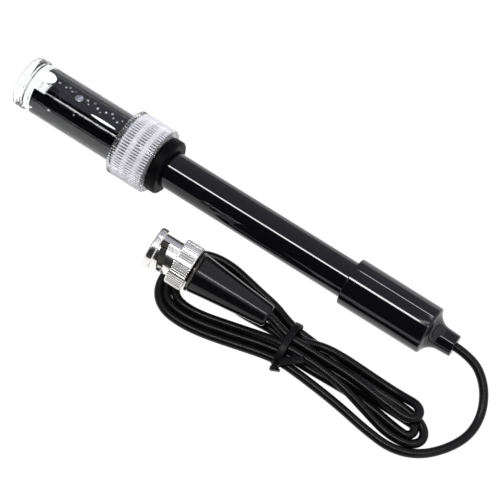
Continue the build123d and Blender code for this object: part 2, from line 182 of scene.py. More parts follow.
def new_material(name: str) -> tuple[bpy.types.Material, Graph]:
    """Makes an empty material.

    Args:
        name: the finish's name.

    Returns:
        The material and the graph of its nodes.
    """
    material = bpy.data.materials.new(name)
    material.use_nodes = True
    return material, Graph(material.node_tree)


@dataclass(frozen=True)
class Finish:
    """The look of a piece, as a material with its own nodes."""

    name: str

    def lay(self, g: Graph) -> None:
        """Adds the finish's nodes to an empty graph."""
        raise NotImplementedError

    def paint(self) -> bpy.types.Material:
        """Makes the material."""
        material, g = new_material(self.name)
        self.lay(g)
        return material


@dataclass(frozen=True)
class MouldedPlastic(Finish):
    """Opaque moulded plastic: a fine skin, slow changes of gloss along it and faint rubbed patches."""

    colour: Colour
    worn: Colour
    roughness: float
    gloss_swing: float
    patch_scale: float = 90.0
    skin_scale: float = 2600.0
    skin_depth: float = 0.0000004
    ior: float = 1.48

    def lay(self, g: Graph) -> None:
        """Adds the finish's nodes."""
        where = g.place()
        patches = g.noise(where, self.patch_scale, 4.0)
        skin = g.noise(where, self.skin_scale, 2.0)
        rubbed = g.ramp(patches, 0.52, 0.78)
        colour = g.blend(rubbed, self.colour, self.worn)
        roughness = self.roughness + self.gloss_swing * (patches - 0.5)
        g.surface(
            {
                "Base Color": colour,
                "Roughness": roughness,
                "IOR": self.ior,
                "Normal": g.bump(skin, 0.25, self.skin_depth),
            }
        )


@dataclass(frozen=True)
class SoftRubber(Finish):
    """Rubber or soft cable jacket: a matt grain, with paler dust in it."""

    colour: Colour
    dusty: Colour
    roughness: float
    grain_scale: float = 3500.0
    grain_depth: float = 0.00002
    dust_scale: float = 160.0
    gloss: float = 0.3

    def lay(self, g: Graph) -> None:
        """Adds the finish's nodes."""
        where = g.place()
        grain = g.noise(where, self.grain_scale, 3.0)
        dust = g.ramp(g.noise(where, self.dust_scale, 5.0), 0.5, 0.8)
        colour = g.blend(dust, self.colour, self.dusty)
        roughness = self.roughness + 0.1 * (grain - 0.5) + 0.06 * dust
        g.surface(
            {
                "Base Color": colour,
                "Roughness": roughness,
                "Specular IOR Level": self.gloss,
                "Normal": g.bump(grain, 0.35, self.grain_depth),
            }
        )


@dataclass(frozen=True)
class TurnedMetal(Finish):
    """Plated metal off a lathe: fine rings round its axis and a slight tarnish."""

    colour: Colour
    tarnish: Colour
    roughness: float
    axis: Point
    ring_scale: float = 9000.0
    ring_depth: float = 0.0000025

    def lay(self, g: Graph) -> None:
        """Adds the finish's nodes."""
        where = g.place()
        distance = g.along(where, self.axis)
        along = {"W": distance, "Scale": self.ring_scale, "Detail": 2.0}
        rings = g.node("ShaderNodeTexNoise", {"noise_dimensions": "1D"}, along)
        cloud = g.noise(where, 420.0, 4.0)
        stain = g.ramp(cloud, 0.5, 0.8)
        g.surface(
            {
                "Base Color": g.blend(stain, self.colour, self.tarnish),
                "Metallic": 1.0,
                "Roughness": self.roughness + 0.12 * (rings - 0.5) + 0.1 * stain,
                "Normal": g.bump(rings, 0.3, self.ring_depth),
            }
        )


@dataclass(frozen=True)
class ClearMatter(Finish):
    """Something that light goes through: clear plastic, glass or liquid, with slow ripples in its skin."""

    tint: Colour
    ior: float
    ripple_scale: float = 60.0
    ripple_depth: float = 0.0000001

    def lay(self, g: Graph) -> None:
        """Adds the finish's nodes."""
        where = g.place()
        ripple = g.noise(where, self.ripple_scale, 1.0)
        g.surface(
            {
                "Base Color": self.tint,
                "Roughness": 0.01 * ripple,
                "IOR": self.ior,
                "Transmission Weight": 1.0,
                "Normal": g.bump(ripple, 0.4, self.ripple_depth),
            }
        )


@dataclass(frozen=True)
class AirSkin(Finish):
    """The skin of an air bubble in liquid, which turns light back and so looks silvery; its painted glow is
    white light that the skin gives off of its own.
    """

    colour: Colour
    pale: Colour
    silver: float
    painted_glow: float = 0.0

    def lay(self, g: Graph) -> None:
        """Adds the finish's nodes."""
        patches = g.noise(g.place(), 900.0, 2.0)
        g.surface(
            {
                "Base Color": g.blend(g.ramp(patches, 0.42, 0.62), self.colour, self.pale),
                "Metallic": self.silver,
                "Roughness": 0.1 + 0.1 * patches,
                # Painted glow: the skin gives off white light, which brightens bubbles and the air pocket
                # with no lamp on them.
                "Emission Color": WHITE,
                "Emission Strength": self.painted_glow,
            }
        )


@dataclass(frozen=True)
class MilkyPlastic(Finish):
    """Cloudy plastic that lets light through without a clear view."""

    colour: Colour
    thick: Colour
    roughness: float
    through: float
    cloud_scale: float = 260.0

    def lay(self, g: Graph) -> None:
        """Adds the finish's nodes."""
        where = g.place()
        cloud = g.noise(where, self.cloud_scale, 4.0)
        skin = g.noise(where, 4000.0, 2.0)
        g.surface(
            {
                "Base Color": g.blend(g.ramp(cloud, 0.4, 0.7), self.colour, self.thick),
                "Roughness": self.roughness + 0.12 * (cloud - 0.5),
                "IOR": MILK_IOR,
                "Transmission Weight": self.through,
                "Normal": g.bump(skin, 0.2, 0.000006),
            }
        )


@dataclass(frozen=True)
class RibbedMilk(Finish):
    """Milky plastic of a ribbed cap: white on its ribs and thread, clearer in between."""

    white: Colour
    clear: Colour
    axle: "Axle"
    groove: float
    crest: float
    thread_pitch: float
    clear_rim: float
    least_white: float = 0.12
    most_white: float = 0.8

    def lay(self, g: Graph) -> None:
        """Adds the finish's nodes."""
        where = g.place()
        along = tuple(Vector(self.axle.along).normalized())
        zero = tuple(MM * value for value in self.axle.zero)
        offset = g.node("ShaderNodeVectorMath", {"operation": "SUBTRACT"}, {0: where, 1: zero})
        distance = g.along(offset, along)
        foot = g.node("ShaderNodeVectorMath", {"operation": "SCALE"}, {0: along, "Scale": distance})
        outward = g.node("ShaderNodeVectorMath", {"operation": "SUBTRACT"}, {0: offset, 1: foot})
        radius = g.node("ShaderNodeVectorMath", {"operation": "LENGTH"}, {0: outward}, output="Value")
        rib = g.ramp(radius, self.groove * MM, self.crest * MM)
        phase = distance * (tau / (self.thread_pitch * MM))
        wave = g.node("ShaderNodeMath", {"operation": "SINE"}, {0: phase})
        thread = g.ramp(wave, -0.1, 0.7)
        cloud = g.noise(where, 500.0, 3.0)
        milk = rib + thread - rib * thread
        share = self.least_white + (self.most_white - self.least_white) * milk + 0.16 * (cloud - 0.5)
        share = share * g.ramp(distance, (self.clear_rim - 0.6) * MM, (self.clear_rim + 0.4) * MM)
        skin = g.bump(cloud, 0.2, 0.000004)
        common = {"IOR": MILK_IOR, "Normal": skin}
        clear = {"Base Color": self.clear, "Roughness": 0.06, "Transmission Weight": 1.0, **common}
        see_through = g.node("ShaderNodeBsdfPrincipled", None, clear)
        white = {"Base Color": self.white, "Roughness": 0.25, **common}
        solid = g.node("ShaderNodeBsdfPrincipled", None, white)
        mixed = g.node("ShaderNodeMixShader", None, {0: share, 1: see_through, 2: solid})
        g.node("ShaderNodeOutputMaterial", None, {"Surface": mixed})


@dataclass(frozen=True)
class Axle:
    """A straight axis that pieces are turned on: its zero point in mm, its direction and a sideways one."""

    zero: Point
    along: Point
    across: Point

    def place(self) -> Matrix:
        """The matrix from a turned piece's own mm, with Z along the axis, to metres in the shared frame."""
        along = Vector(self.along).normalized()
        across = Vector(self.across).normalized()
        turn = Matrix((across, along.cross(across), along)).transposed().to_4x4()
        return Matrix.Scale(MM, 4) @ Matrix.Translation(Vector(self.zero)) @ turn


ROD_TILT = radians(1.9101164)
ROD = Axle((-27.986904, 0.0, 10.977222), (cos(ROD_TILT), 0.0, -sin(ROD_TILT)), (0.0, 1.0, 0.0))
PLUG_RISE = radians(10.4)
PLUG_SWING = radians(4.3)
PLUG_ALONG = (-cos(PLUG_RISE) * cos(PLUG_SWING), -cos(PLUG_RISE) * sin(PLUG_SWING), sin(PLUG_RISE))
PLUG = Axle((1.320243, -24.298542, 10.292069), PLUG_ALONG, (-sin(PLUG_SWING), cos(PLUG_SWING), 0.0))


class Bench:
    """The modelling steps that pieces share, in mm until a piece is settled in place."""

    @staticmethod
    def clear() -> None:
        """Leaves edit mode and deselects everything."""
        if bpy.context.object is not None and bpy.context.object.mode != "OBJECT":
            bpy.ops.object.mode_set(mode="OBJECT")
        bpy.ops.object.select_all(action="DESELECT")

    @staticmethod
    def pick(piece: Piece) -> None:
        """Makes one piece the only selected one, and active."""
        Bench.clear()
        piece.select_set(True)
        bpy.context.view_layer.objects.active = piece

    @staticmethod
    def edit(piece: Piece) -> None:
        """Opens one piece in edit mode with all of it selected."""
        Bench.pick(piece)
        bpy.ops.object.mode_set(mode="EDIT")
        bpy.ops.mesh.select_all(action="SELECT")

    @staticmethod
    def steady(rings: Sequence[Ring], near: float = 0.12) -> list[Ring]:
        """Adds a ring close to both ends of every long run, so that its faces shade straight."""
        long_run = 0.1
        kept = [rings[0]]
        for (start, first), (end, last) in zip(rings, rings[1:]):
            share = near / max(sqrt((end - start) ** 2 + (last - first) ** 2), near)
            if share < long_run:
                kept.append((start + (end - start) * share, first + (last - first) * share))
                kept.append((end - (end - start) * share, last - (last - first) * share))
            kept.append((end, last))
        return kept

    @staticmethod
    def turn(name: str, rings: Sequence[Ring], segments: int = 96) -> Piece:
        """Turns a piece by extruding a circle along Z from ring to ring.

        Args:
            name: the piece's name.
            rings: places along Z and radii. A last ring equal to the first closes the piece on itself.
            segments: points round each ring.

        Returns:
            The closed piece.
        """
        thin = 0.001
        Bench.clear()
        start, radius = rings[0]
        radius = max(radius, thin)
        bpy.ops.mesh.primitive_circle_add(vertices=segments, radius=radius, location=(0, 0, start))
        piece = bpy.context.object
        piece.name = name
        Bench.edit(piece)
        place = start
        for next_place, next_radius in Bench.steady(rings)[1:]:
            next_radius = max(next_radius, thin)
            move = {"value": (0, 0, next_place - place)}
            bpy.ops.mesh.extrude_region_move(TRANSFORM_OT_translate=move)
            scale = next_radius / radius
            bpy.ops.transform.resize(value=(scale, scale, 1), center_override=(0, 0, next_place))
            place, radius = next_place, next_radius
        Bench.weld(piece, near=0.005)
        return piece

    @staticmethod
    def weld(piece: Piece, near: float, sides: int = 0) -> None:
        """Joins points that lie together, closes holes of up to so many sides and turns faces outwards."""
        Bench.edit(piece)
        bpy.ops.mesh.remove_doubles(threshold=near)
        if sides:
            bpy.ops.mesh.fill_holes(sides=sides)
        bpy.ops.mesh.normals_make_consistent(inside=False)
        bpy.ops.object.mode_set(mode="OBJECT")

    @staticmethod
    def rounding(face: float, side: float, depth: float, width: Optional[float] = None) -> list[Ring]:
        """A rounded corner from a flat end out to a side.

        Args:
            face: the flat end's place along the axis.
            side: the side's radius.
            depth: how far along the axis the corner goes, negative for back along it.
            width: how far out it goes, as far as along where it isn't given.

        Returns:
            Five rings, from the flat end to the side.
        """
        width = abs(depth) if width is None else width
        angles = [step * pi / 8 for step in range(5)]
        return [(face + depth * (1 - cos(angle)), side - width * (1 - sin(angle))) for angle in angles]

    @staticmethod
    def bevel(face: float, side: float, depth: float) -> list[Ring]:
        """Three rings that break a small edge, from a flat end out to a side."""
        shares = ((0, 1), (0.3, 0.3), (1, 0))
        return [(face + along * depth, side - inward * abs(depth)) for along, inward in shares]

    @staticmethod
    def draw(name: str, line: Sequence[Point], flat: bool, steps: int, closed: bool) -> Piece:
        """Draws a smooth line as a curve.

        Args:
            name: the object's name.
            line: its control points.
            flat: whether it stays in one plane.
            steps: steps from one control point to the next.
            closed: whether it is a loop.

        Returns:
            The object, before it has a section.
        """
        curve = bpy.data.curves.new(name, "CURVE")
        curve.dimensions = "2D" if flat else "3D"
        curve.use_fill_caps = not closed
        spline = curve.splines.new("NURBS")
        spline.points.add(len(line) - 1)
        for point, place in zip(spline.points, line):
            point.co = (*place, 1)
        spline.order_u = 3
        spline.use_cyclic_u = closed
        spline.use_endpoint_u = not closed
        spline.resolution_u = steps
        drawn = bpy.data.objects.new(name, curve)
        bpy.context.scene.collection.objects.link(drawn)
        return drawn

    @staticmethod
    def apply(piece: Piece, kind: str, **settings: Any) -> None:
        """Adds a modifier with its settings and applies it."""
        Bench.pick(piece)
        modifier = piece.modifiers.new(kind.lower(), kind)
        for key, value in settings.items():
            setattr(modifier, key, value)
        bpy.ops.object.modifier_apply(modifier=modifier.name)

    @staticmethod
    def press(piece: Piece, radius: float, depth: float, points: int, low: Sequence[int]) -> None:
        """Presses grooves along Z into a turned piece's outer faces.

        Args:
            piece: the piece, turned with a whole number of points to each groove.
            radius: the outer faces' radius.
            depth: the grooves' depth.
            points: points round the piece from one groove to the next.
            low: which of those points go in.
        """
        Bench.pick(piece)
        bpy.ops.object.mode_set(mode="EDIT")
        bpy.ops.mesh.select_mode(type="VERT")
        bpy.ops.mesh.select_all(action="DESELECT")
        bpy.ops.object.mode_set(mode="OBJECT")
        near = 0.02
        outer = [vertex for vertex in piece.data.vertices if vertex.co.xy.length > radius - near]
        rows = len({round(vertex.co.z, 3) for vertex in outer})
        share = tau * rows / len(outer)
        for vertex in outer:
            vertex.select = round(atan2(vertex.co.y, vertex.co.x) / share) % points in low
        bpy.ops.object.mode_set(mode="EDIT")
        scale = (radius - depth) / radius
        bpy.ops.transform.resize(value=(scale, scale, 1), center_override=(0, 0, 0))
        bpy.ops.object.mode_set(mode="OBJECT")

    @staticmethod
    def cut(piece: Piece, cutter: Piece) -> None:
        """Takes a cutter's shape out of a piece, and the cutter away."""
        Bench.apply(piece, "BOOLEAN", operation="DIFFERENCE", solver="EXACT", object=cutter)
        bpy.data.objects.remove(cutter)

    @staticmethod
    def fuse(piece: Piece, other: Piece) -> None:
        """Makes one closed shape of two pieces."""
        Bench.apply(piece, "BOOLEAN", operation="UNION", solver="EXACT", object=other)
        bpy.data.objects.remove(other)

    @staticmethod
    def block(size: Point, middle: Point, turn: float = 0.0) -> Piece:
        """A box for cutting, of a size, about a middle, turned round Z."""
        Bench.clear()
        bpy.ops.mesh.primitive_cube_add(size=1, location=middle, rotation=(0, 0, turn), scale=size)
        return bpy.context.object

    @staticmethod
    def drill(radius: float, depth: float, middle: Point, turn: float) -> Piece:
        """A round cutter that lies across Z, at an angle round it."""
        Bench.clear()
        size = {"vertices": 32, "radius": radius, "depth": depth}
        bpy.ops.mesh.primitive_cylinder_add(location=middle, rotation=(0, pi / 2, turn), **size)
        return bpy.context.object

    @staticmethod
    def coil(name: str, section: Sequence[Ring], turns: float, rise: float, steps: int) -> Piece:
        """Sweeps a four-cornered section round Z while it climbs.

        Args:
            name: the piece's name.
            section: four corners, as radius and height.
            turns: turns round Z, negative for the other hand.
            rise: climb over the whole sweep.
            steps: steps in each turn.

        Returns:
            The closed piece.
        """
        Bench.clear()
        bpy.ops.mesh.primitive_plane_add(size=1)
        piece = bpy.context.object
        piece.name = name
        order = (0, 1, 3, 2)
        for index, (radius, height) in zip(order, section):
            piece.data.vertices[index].co = (radius, 0, height)
        settings = {"angle": tau * turns, "screw_offset": rise, "steps": steps, "render_steps": steps}
        Bench.apply(piece, "SCREW", axis="Z", use_merge_vertices=False, **settings)
        Bench.weld(piece, near=0.0005, sides=4)
        return piece

    @staticmethod
    def settle(piece: Piece, axle: Axle, angle: float = 35.0) -> Piece:
        """Puts a piece in place in metres, with its place in its mesh, and smooths it up to an angle."""
        Bench.pick(piece)
        bpy.context.view_layer.update()
        piece.matrix_world = axle.place() @ piece.matrix_world
        bpy.ops.object.transform_apply(location=True, rotation=True, scale=True)
        bpy.ops.object.shade_smooth_by_angle(angle=radians(angle))
        return piece

    @staticmethod
    def copy_solid(node: Piece, name: str, angle: float = 35.0) -> Piece:
        """A copy of a solid with its triangles merged, so that its curved faces shade smoothly."""
        piece = bpy.data.objects.new(name, node.data.copy())
        bpy.context.scene.collection.objects.link(piece)
        Bench.edit(piece)
        bpy.ops.mesh.remove_doubles(threshold=0.000002)
        bpy.ops.object.mode_set(mode="OBJECT")
        bpy.ops.object.shade_smooth_by_angle(angle=radians(angle))
        return piece

    @staticmethod
    def dress(piece: Piece, material: bpy.types.Material) -> None:
        """Gives a piece one material."""
        piece.data.materials.clear()
        piece.data.materials.append(material)

    @staticmethod
    def hand_in(piece: Piece, body: Body, slot: str, *nodes: str) -> None:
        """Rides a piece on its body, hides the solids that it stands for and logs it."""
        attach(piece, body.value)
        if nodes:
            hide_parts(*nodes)
        log.info("%s rides on %s", piece.name, body.value)


GLOSS_BLACK = MouldedPlastic(
    "gloss_black_tube",
    colour=(0.0035, 0.0035, 0.005, 1),
    worn=(0.006, 0.006, 0.009, 1),
    roughness=0.045,
    gloss_swing=0.03,
)
SATIN_BLACK = MouldedPlastic(
    "satin_black_handle",
    colour=(0.0038, 0.0038, 0.0054, 1),
    worn=(0.007, 0.007, 0.01, 1),
    roughness=0.035,
    gloss_swing=0.03,
)
TIE_BLACK = SoftRubber(
    "black_tie",
    colour=(0.0025, 0.0025, 0.003, 1),
    dusty=(0.005, 0.005, 0.006, 1),
    roughness=0.38,
    grain_scale=2400.0,
    grain_depth=0.000006,
    gloss=0.16,
)
RING_BLACK = SoftRubber(
    "black_ring_rubber",
    colour=(0.0025, 0.0025, 0.003, 1),
    dusty=(0.005, 0.005, 0.0055, 1),
    roughness=0.45,
    grain_depth=0.00001,
    gloss=0.05,
)
JACKET_BLACK = SoftRubber(
    "black_cable_jacket",
    colour=(0.0025, 0.0025, 0.0028, 1),
    dusty=(0.004, 0.004, 0.0045, 1),
    roughness=0.3,
    grain_scale=2600.0,
    grain_depth=0.000004,
    gloss=0.22,
)
BOOT_BLACK = SoftRubber(
    "black_boot_rubber",
    colour=(0.003, 0.003, 0.004, 1),
    dusty=(0.005, 0.005, 0.0065, 1),
    roughness=0.15,
    grain_scale=3000.0,
    grain_depth=0.000002,
    gloss=0.35,
)
GREY_SEALANT = SoftRubber("grey_sealant", (0.05, 0.05, 0.052, 1), (0.08, 0.08, 0.08, 1), 0.5)
PALE_SILICONE = SoftRubber("pale_silicone", (0.72, 0.73, 0.72, 1), (0.64, 0.65, 0.64, 1), 0.4)
GREY_GASKET = SoftRubber("grey_gasket", (0.17, 0.165, 0.155, 1), (0.22, 0.21, 0.2, 1), 0.5)
WHITE_PLASTIC = MouldedPlastic("white_insulator", (0.8, 0.8, 0.76, 1), (0.72, 0.72, 0.68, 1), 0.45, 0.1)
LEAD_PLASTIC = MouldedPlastic("pale_lead_sleeve", (0.66, 0.66, 0.6, 1), (0.58, 0.58, 0.53, 1), 0.42, 0.1)
PALE_CERAMIC = MouldedPlastic(
    "porous_ceramic", (0.72, 0.7, 0.66, 1), (0.62, 0.6, 0.56, 1), 0.7, 0.1, patch_scale=400.0
)
BRIGHT_NICKEL = TurnedMetal("bright_nickel", (0.86, 0.85, 0.82, 1), (0.7, 0.68, 0.64, 1), 0.17, PLUG_ALONG)
# Painted shade: nickel coloured dark, for the shade that falls on the plug's body inside the coupling.
SHADED_NICKEL = TurnedMetal("nickel_painted_shade", (0.1, 0.097, 0.09, 1), (0.06, 0.058, 0.054, 1), 0.3, PLUG_ALONG)
SPRING_STEEL = TurnedMetal("spring_steel", (0.55, 0.55, 0.55, 1), (0.42, 0.42, 0.42, 1), 0.3, PLUG_ALONG)
GOLD_PLATE = TurnedMetal("gold_plate", (0.85, 0.6, 0.22, 1), (0.7, 0.48, 0.18, 1), 0.2, PLUG_ALONG)
SILVER_WIRE = TurnedMetal("silver_wire_metal", (0.8, 0.79, 0.76, 1), (0.5, 0.48, 0.46, 1), 0.25, ROD.along)
CLEAR_BOTTLE = ClearMatter("clear_bottle", (0.985, 0.99, 0.99, 1), 1.49)
WET_WALL = ClearMatter("wet_bottle_wall", (0.995, 1.0, 1.0, 1), 1.0)
CLEAR_LIQUID = ClearMatter("storage_liquid", (0.985, 0.99, 1.0, 1), 1.0)
# Both skins carry painted glow: faint on the bubbles, strong on the air pocket, which shows as a glowing
# white patch.
BUBBLE_SKIN = AirSkin("bubble_skin", (0.3, 0.3, 0.35, 1), (0.95, 0.95, 1.0, 1), silver=1.0, painted_glow=0.1)
GLOWING_POCKET_SKIN = AirSkin("air_pocket_painted_glow", (0.8, 0.8, 0.83, 1), (0.97, 0.97, 0.97, 1), silver=0.0, painted_glow=0.8)
SENSOR_GLASS = ClearMatter("sensor_glass", (0.96, 0.985, 0.98, 1), 1.12)
INNER_BUFFER = ClearMatter("inner_buffer_liquid", (0.97, 0.99, 1.0, 1), 1.02)
CLOUDY_GEL = MilkyPlastic("cloudy_gel", (0.75, 0.76, 0.72, 1), (0.68, 0.69, 0.65, 1), 0.2, 0.4)
CLEAR_SEAL = MilkyPlastic("clear_washer", (0.96, 0.96, 0.96, 1), (0.92, 0.92, 0.93, 1), 0.12, 0.9)
MILKY_CAP = RibbedMilk(
    "milky_cap",
    (0.95, 0.94, 0.98, 1),
    (0.97, 0.975, 0.98, 1),
    ROD,
    groove=10.68,
    crest=10.92,
    thread_pitch=4.2,
    clear_rim=-11.0,
)


@dataclass
class ElectrodeBody:
    """The black tube with its slotted guard, and the handle moulded on its other end."""

    tube_radius: float = 6.0
    tube_bore: float = 4.5
    tip: float = -45.4
    tube_end: float = 83.5
    tip_round: float = 0.35
    slot_width: float = 3.4
    slot_depth: float = 8.0
    slot_turn: float = 14.3
    handle_start: float = 70.5
    handle_end: float = 99.15
    handle_front: float = 7.8
    handle_rear: float = 7.7
    front_round: float = 0.25
    rear_round: float = 0.75
    flare_root: float = 6.9
    flare_length: float = 4.5
    neck_radius: float = 3.7
    neck_end_radius: float = 3.5
    neck_length: float = 4.0
    socket_floor: float = 5.2
    roof: float = 3.0
    lead_bore: float = 1.7
    cable_bore: float = 1.43
    cable_grip: float = 2.4
    fit: float = 0.02

    def slot_angles(self) -> list[float]:
        """The angles of the two slots that cross in the guard."""
        return [radians(self.slot_turn) + quarter * pi / 2 for quarter in (0, 1)]

    def build_tube(self) -> Piece:
        """Turns the tube and cuts its guard into four prongs."""
        rings = [
            (self.tip, self.tube_bore),
            *Bench.bevel(self.tip, self.tube_radius, self.tip_round),
            (self.tube_end, self.tube_radius),
            (self.tube_end, self.tube_bore),
            (self.tip, self.tube_bore),
        ]
        tube = Bench.turn("electrode_tube", rings, FINE_ROUND)
        run = self.slot_depth - self.slot_width / 2
        reach = 4 * self.tube_radius
        for angle in self.slot_angles():
            Bench.cut(tube, Bench.block((reach, self.slot_width, 2 * run), (0, 0, self.tip), angle))
            Bench.cut(tube, Bench.drill(self.slot_width / 2, reach, (0, 0, self.tip + run), angle))
        return Bench.settle(tube, ROD)

    def flare_rings(self) -> list[Ring]:
        """The hollow curve from the handle's shoulder down to its neck."""
        drop = self.flare_root - self.neck_radius
        curve = (self.flare_length**2 + drop**2) / (2 * drop)
        steps = 12
        rings = []
        for step in range(1, steps + 1):
            left = self.flare_length * (1 - step / steps)
            radius = self.neck_radius + curve - sqrt(curve**2 - left**2)
            rings.append((self.handle_end + self.flare_length - left, radius))
        return rings

    def build_handle(self) -> Piece:
        """Turns the handle with its flared neck and its hollow."""
        shoulder = self.handle_rear - self.flare_root
        neck_start = self.handle_end + self.flare_length
        neck_end = neck_start + self.neck_length
        bore = self.tube_radius + self.fit
        rings = [
            (self.handle_start, bore),
            *Bench.bevel(self.handle_start, self.handle_front, self.front_round),
            *Bench.rounding(self.handle_end, self.handle_rear, -self.rear_round, shoulder)[::-1],
            *self.flare_rings(),
            (neck_end - 0.35, self.neck_end_radius + 0.02),
            (neck_end - 0.1, self.neck_end_radius - 0.1),
            (neck_end, self.neck_end_radius - 0.35),
            (neck_end, self.cable_bore),
            (neck_end - self.cable_grip, self.cable_bore),
            (neck_end - self.cable_grip, self.lead_bore),
            (self.handle_end - self.roof, self.lead_bore),
            (self.handle_end - self.roof, self.socket_floor),
            (self.tube_end, self.socket_floor),
            (self.tube_end, bore),
            (self.handle_start, bore),
        ]
        return Bench.settle(Bench.turn("handle_moulding", rings, FINE_ROUND), ROD)

    def make(self) -> None:
        """Builds and dresses both pieces."""
        tube = self.build_tube()
        Bench.dress(tube, GLOSS_BLACK.paint())
        Bench.hand_in(tube, Body.ELECTRODE, "body_plastic", "body_tube")
        handle = self.build_handle()
        Bench.dress(handle, SATIN_BLACK.paint())
        Bench.hand_in(handle, Body.ELECTRODE, "handle_plastic", "handle")


@dataclass
class StorageBottle:
    """The clear bottle with its thread, its ribbed cap and ring, and the liquid and air in it."""

    electrode: ElectrodeBody
    bottle_radius: float = 8.2
    neck_core: float = 8.3
    thread_crest: float = 8.88
    thread_pitch: float = 2.5
    thread_turns: float = 2.3
    thread_start: float = 1.9
    thread_base: float = 1.1
    wall: float = 1.3
    bottle_end: float = -51.5
    foot_radius: float = 8.55
    foot_length: float = 4.4
    foot_round: float = 1.5
    waist_radius: float = 7.85
    waist_length: float = 1.2
    edge: float = 0.7
    floor: float = 4.6
    inner_round: float = 1.4
    lip: float = 0.45
    seal_face: float = -4.62
    cap_radius: float = 11.0
    cap_length: float = 13.1
    cap_edge: float = 0.5
    cap_roof: float = 2.2
    cap_bore: float = 9.0
    rod_hole: float = 6.08
    rib_count: int = 72
    rib_height: float = 0.35
    ring_radius: float = 9.2
    ring_thickness: float = 3.9
    ring_edge: float = 0.9
    bulb_radius: float = 4.0
    bulb_middle: float = -39.4
    liquid_top: float = -9.0
    overlap: float = 0.04

    def build_bottle(self) -> Piece:
        """Turns the bottle, winds its thread, and lets light straight through its wall where it is wet."""
        end, edge, bore = self.bottle_end, self.edge, self.bottle_radius - self.wall
        foot_end = end + self.foot_length
        waist_end = foot_end + self.waist_length
        neck_start = -self.cap_length - self.cap_edge
        inside = end + self.floor
        rings = [
            (end + 0.35, 0),
            (end + 0.3, 0.55 * self.foot_radius),
            (end, 0.68 * self.foot_radius),
            *Bench.rounding(end, self.foot_radius, self.foot_round),
            *Bench.rounding(foot_end, self.foot_radius, -edge)[::-1],
            (foot_end + 0.1, self.waist_radius + 0.03),
            (foot_end + 0.3, self.waist_radius),
            (waist_end - 0.2, self.waist_radius),
            (waist_end + 0.25, self.waist_radius + 0.18),
            (waist_end + edge, self.bottle_radius - 0.06),
            (waist_end + 1.3 * edge, self.bottle_radius),
            (neck_start, self.bottle_radius),
            (neck_start + 0.3, self.bottle_radius + self.lip),
            (neck_start + 1.1, self.bottle_radius + self.lip),
            (neck_start + 1.4, self.neck_core),
            (self.seal_face - 0.3, self.neck_core),
            (self.seal_face, self.neck_core - 0.3),
            (self.seal_face, bore + 0.2),
            (self.seal_face - 0.2, bore),
            (self.liquid_top, bore),
            *Bench.rounding(inside, bore, self.inner_round)[::-1],
            (inside, 0),
        ]
        bottle = Bench.turn("clear_bottle_body", rings, FINE_ROUND)
        low = neck_start + self.thread_start
        root, crest = self.neck_core - 0.1, self.thread_crest
        section = [(root, low), (crest, low + 0.35), (crest, low + 0.75), (root, low + self.thread_base)]
        rise = self.thread_pitch * self.thread_turns
        thread = Bench.coil("bottle_thread", section, self.thread_turns, rise, steps=64)
        Bench.fuse(bottle, thread)
        Bench.dress(bottle, CLEAR_BOTTLE.paint())
        bottle.data.materials.append(WET_WALL.paint())
        near = 0.02
        for face in bottle.data.polygons:
            place = face.center.z + bottle.location.z
            wet = inside - near < place < self.liquid_top and face.center.xy.length < bore + near
            face.material_index = int(wet)
        return Bench.settle(bottle, ROD)

    def build_cap(self) -> Piece:
        """Turns the cap and presses its grooves in between the ribs."""
        edge = self.cap_edge
        rings = [
            (-self.cap_length, self.cap_bore),
            (-self.cap_length, self.cap_radius - edge - 0.1),
            (-self.cap_length + 0.15, self.cap_radius - edge + 0.1),
            (-self.cap_length + edge, self.cap_radius),
            (-edge, self.cap_radius),
            (-0.15, self.cap_radius - edge + 0.1),
            (0, self.cap_radius - edge - 0.1),
            (0, self.rod_hole),
            (-self.cap_roof, self.rod_hole),
            (-self.cap_roof, self.cap_bore),
            (-self.cap_length, self.cap_bore),
        ]
        points = 4
        cap = Bench.turn("ribbed_cap", rings, points * self.rib_count)
        Bench.press(cap, self.cap_radius, self.rib_height, points, (2, 3))
        return Bench.settle(cap, ROD, angle=25.0)

    def build_ring(self) -> Piece:
        """Turns the rubber ring on the rod."""
        radius, edge, thick = self.ring_radius, self.ring_edge, self.ring_thickness
        gap, chamfer = 0.02, 0.3
        rings = [
            (gap, self.rod_hole),
            *Bench.rounding(gap, radius, edge),
            *Bench.rounding(thick, radius, -edge)[::-1],
            (thick, self.rod_hole + chamfer),
            (thick - chamfer, self.rod_hole),
            (gap, self.rod_hole),
        ]
        return Bench.settle(Bench.turn("rod_ring", rings, segments=112), ROD)

    def build_liquid(self) -> Piece:
        """Turns the liquid, a hair into the wall and the rod, and fills the slots of the guard with it."""
        bore = self.bottle_radius - self.wall + self.overlap
        inside = self.bottle_end + self.floor - self.overlap
        hole = self.electrode.tube_radius - self.overlap
        tip = self.electrode.tip + self.overlap
        rings = [(inside, 0), *Bench.rounding(inside, bore, self.inner_round)]
        rings += [(self.liquid_top, bore), (self.liquid_top, hole), (tip, hole), (tip, 0)]
        liquid = Bench.turn("storage_liquid_fill", rings, FINE_ROUND)
        Bench.fuse(liquid, self.build_slot_fill())
        return Bench.settle(liquid, ROD)

